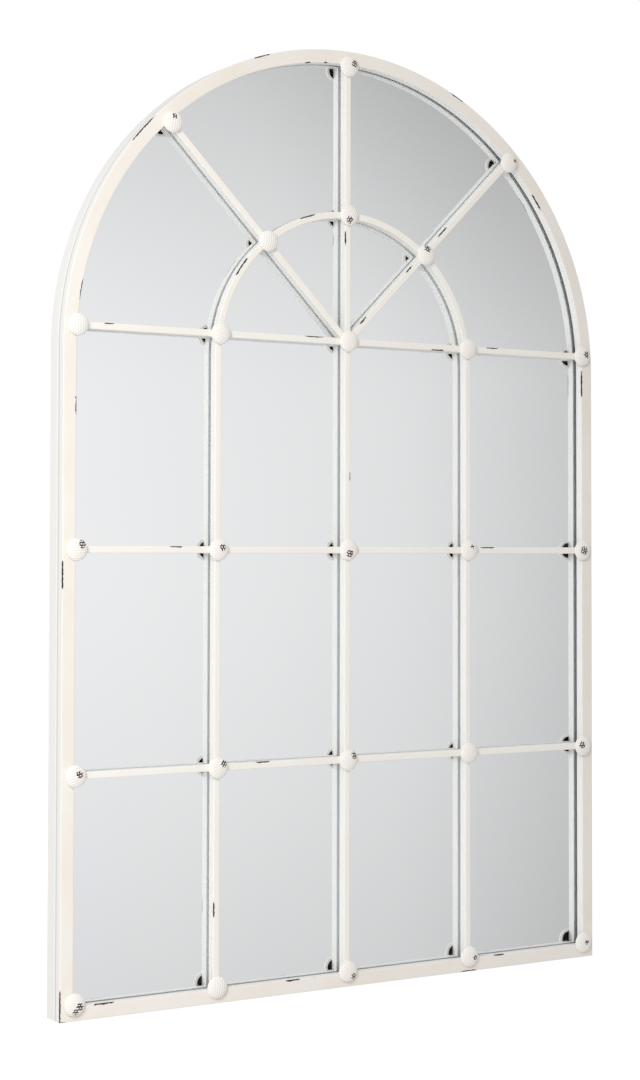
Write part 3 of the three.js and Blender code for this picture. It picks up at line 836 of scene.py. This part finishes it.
# %% Rosettes on the crossings
ROSETTE_GAP = 0.3
ROSETTE_BACK = FRONT - ROSETTE_GAP
# The grooves and the foot's crease get more warm wax tone: wax that gathers there, and painted shade.
PLAIN_FACING, GROOVE_WAX_AND_SHADE, CREASE_WAX_AND_SHADE = 0.3, 0.4, 0.3
ROSETTE_CREAM, ROSETTE_SIDE = (0.93, 0.88, 0.82, 1.0), (0.925, 0.91, 0.88, 1.0)
rosette_paint = cream_paint("rosette_paint", ROSETTE_CREAM, ROSETTE_SIDE, WAX_CREAM, waxed=0.4,
                            chip_scale=300.0, ragged=1.1)
stile_line = HALF_WIDTH - STILE_INSET
rosette_places = {}
for row, height in enumerate(ROWS):
    hoop = hoop_half_width(height)
    for column, x in enumerate((-stile_line, -hoop, 0.0, hoop, stile_line)):
        rosette_places[f"row{row + 1}_{column + 1}"] = (x, height)
for ring, reach in (("arch", TO_ARCH), ("hoop", TO_HOOP)):
    rosette_places[ring + "_left"] = (-reach * SLOPE, HUB + reach * SLOPE)
    rosette_places[ring + "_right"] = (reach * SLOPE, HUB + reach * SLOPE)
rosette_places["arch_crown"] = (0.0, HEIGHT - CROSSING_INSET)
rosette_places["hoop_crown"] = (0.0, HOOP_SPRING + HOOP_RADIUS)

dice = np.random.default_rng(26)
quads, top_row, bottom_row = dome_faces()
first_middle = dome_radius.size
fans = [[int(after), int(here), first_middle] for here, after in zip(top_row, np.roll(top_row, -1))]
fans += [[int(here), int(after), first_middle + 1]
         for here, after in zip(bottom_row, np.roll(bottom_row, -1))]
# Warmer, darker wax tone in the grooves and the crease: partly wax, partly painted shade.
dome_facing = PLAIN_FACING + GROOVE_WAX_AND_SHADE * dome_groove + CREASE_WAX_AND_SHADE * dome_crease
for name, (x, height) in rosette_places.items():
    angle = dome_angle + dice.uniform(0.0, 2 * math.pi)
    across_x, across_z = dome_radius * np.cos(angle), dome_radius * np.sin(angle)
    points = np.stack([x + across_x, ROSETTE_BACK - dome_height, height + across_z], axis=-1).reshape(-1, 3)
    middles = points[top_row].mean(axis=0), points[bottom_row].mean(axis=0)
    # The crease round the foot starts a little rubbed: a painted contact shadow.
    worn_and_shade = CREASE_SHADE * dome_crease
    for dx, dz, reach in WORN_ROSETTES.get(name, []):
        spot = np.exp(-(np.hypot(across_x - dx, across_z - dz) / (WORN_REACH * reach)) ** 4)
        worn_and_shade = np.maximum(worn_and_shade, spot * (WORN_EVENLY + WORN_GROOVES * dome_groove))
    marks = {label: np.append(grid.ravel(), ends) for label, grid, ends in (
        ("rubbed_and_shade", worn_and_shade, (0.0, 0.0)), ("hollow", dome_hollow, (0.0, 1.0)),
        ("facing", dome_facing, (PLAIN_FACING, PLAIN_FACING)))}
    dome = make_piece("rosette_" + name + "_cast", np.vstack([points, middles]), quads + fans, marks,
                      sharp=70.0)
    finish_piece(dome, rosette_paint, "rosette_paint", "rosette_" + name)
print(len(rosette_places), "rosettes of", len(quads), "quads")

# %% [markdown]
# ## Mirror
# The light is turned back by the silvering, on the back of the sheet. What shows is that plane: it lies
# some 3 mm behind the bars, so each bar's pale side is seen twice, with a dark line between. The sheet is
# made as the thin silvered layer itself, with the faint green of glass and the slightest unevenness in its
# gloss. Its rings of points run from the edge towards one point and leave a small flat face in the middle.

# %% Silvered sheet
SILVER_THICKNESS = 0.15
SHEET_RINGS, INNERMOST_SHARE, SHEET_MIDDLE = 12, 0.08, 500.0
sheet_edge = np.concatenate(window_ring(np.array([LIP + SHEET_CLEARANCE]), step=8.0), axis=1)
middle = np.array([0.0, SHEET_MIDDLE])
shares = np.linspace(1.0, INNERMOST_SHARE, SHEET_RINGS)
rings = middle + shares[:, None, None] * (sheet_edge - middle)
front_layer = np.insert(rings, 1, SILVER, axis=2)
back_layer = np.insert(rings, 1, SILVER + SILVER_THICKNESS, axis=2)
layers = np.concatenate([front_layer[::-1], back_layer])
sheet = make_piece("mirror_sheet", layers, shell_faces(len(layers), len(sheet_edge), False), sharp=30.0)

# %% Silvering
SILVER_DIM, SILVER_BRIGHT = (0.918, 0.944, 0.948, 1.0), (0.930, 0.955, 0.958, 1.0)
mirror_finish, tree = empty_finish("mirror")
cloud = step_between(tree, speckle(tree, 3.0, 2.0), 0.3, 0.7)
tint = blend_colours(tree, cloud, SILVER_DIM, SILVER_BRIGHT)
haze = arithmetic(tree, "MULTIPLY", step_between(tree, speckle(tree, 40.0, 4.0), 0.55, 0.85), 0.012)
finish_with(tree, add_node(tree, "BsdfPrincipled", {"Base Color": tint, "Metallic": 1.0, "Roughness": haze}))
finish_piece(sheet, mirror_finish, "mirror", "mirror_glass")
print("mirror sheet", len(sheet.data.polygons), "faces")

# %% [markdown]
# ## Board and keyhole plates
# The back is never seen in the photograph. A board closes the back of the glass and two zinc-plated
# keyhole plates take the wall screws. Their solids have the right shape, so they keep it and only get a
# finish: pressed wood fibre with a fine fleck, and plating with a soft crystalline bloom.

# %% Back finishes
DARK_FIBRE, BROWN_FIBRE = (0.235, 0.135, 0.070, 1.0), (0.300, 0.185, 0.105, 1.0)
PALE_FLECK = (0.42, 0.29, 0.18, 1.0)
DULL_ZINC, PALE_ZINC = (0.52, 0.52, 0.50, 1.0), (0.68, 0.68, 0.65, 1.0)

board_finish, tree = empty_finish("backing_board")
fibre = speckle(tree, 260.0, 5.0, (1.0, 1.0, 0.35), 0.7)
blotch = step_between(tree, speckle(tree, 14.0, 3.0), 0.3, 0.75)
fleck = arithmetic(tree, "MULTIPLY", step_between(tree, fibre, 0.45, 0.8), 0.55)
brown = blend_colours(tree, fleck, blend_colours(tree, blotch, DARK_FIBRE, BROWN_FIBRE), PALE_FLECK)
bump = add_node(tree, "Bump", {"Strength": 0.3, "Distance": 0.0004, "Height": fibre})
finish_with(tree, add_node(tree, "BsdfPrincipled", {
    "Base Color": brown, "Roughness": arithmetic(tree, "ADD", 0.72, arithmetic(tree, "MULTIPLY", fibre, 0.2)),
    "Specular IOR Level": 0.3, "Normal": bump.outputs[0]}))

plate_finish, tree = empty_finish("plated_steel")
plate_spot = add_node(tree, "TexCoord").outputs["Object"]
bloom = add_node(tree, "TexVoronoi", {"Vector": plate_spot, "Scale": 260.0})
zinc = blend_colours(tree, bloom.outputs["Color"], DULL_ZINC, PALE_ZINC)
scuff = speckle(tree, 700.0, 3.0, (1.0, 1.0, 0.1))
bump = add_node(tree, "Bump", {"Strength": 0.15, "Distance": 0.0002, "Height": scuff})
finish_with(tree, add_node(tree, "BsdfPrincipled", {
    "Base Color": zinc, "Metallic": 0.95,
    "Roughness": arithmetic(tree, "ADD", 0.28, arithmetic(tree, "MULTIPLY", scuff, 0.2)),
    "Normal": bump.outputs[0]}))


def refinish(node, finish):
    """Gives a solid that stays as it is a better material."""
    nodes[node].data.materials.clear()
    nodes[node].data.materials.append(finish)


BACK_FINISHES = {"backing_board": board_finish, "keyhole_plate_left": plate_finish,
                 "keyhole_plate_right": plate_finish}
for node, finish in BACK_FINISHES.items():
    refinish(node, finish)
print("finishes for", ", ".join(BACK_FINISHES))

# %% [markdown]
# ## Finish
# The colours are shown as they are written, through the Standard view transform.

# %% Colour management and the end
bpy.context.scene.view_settings.view_transform = "Standard"
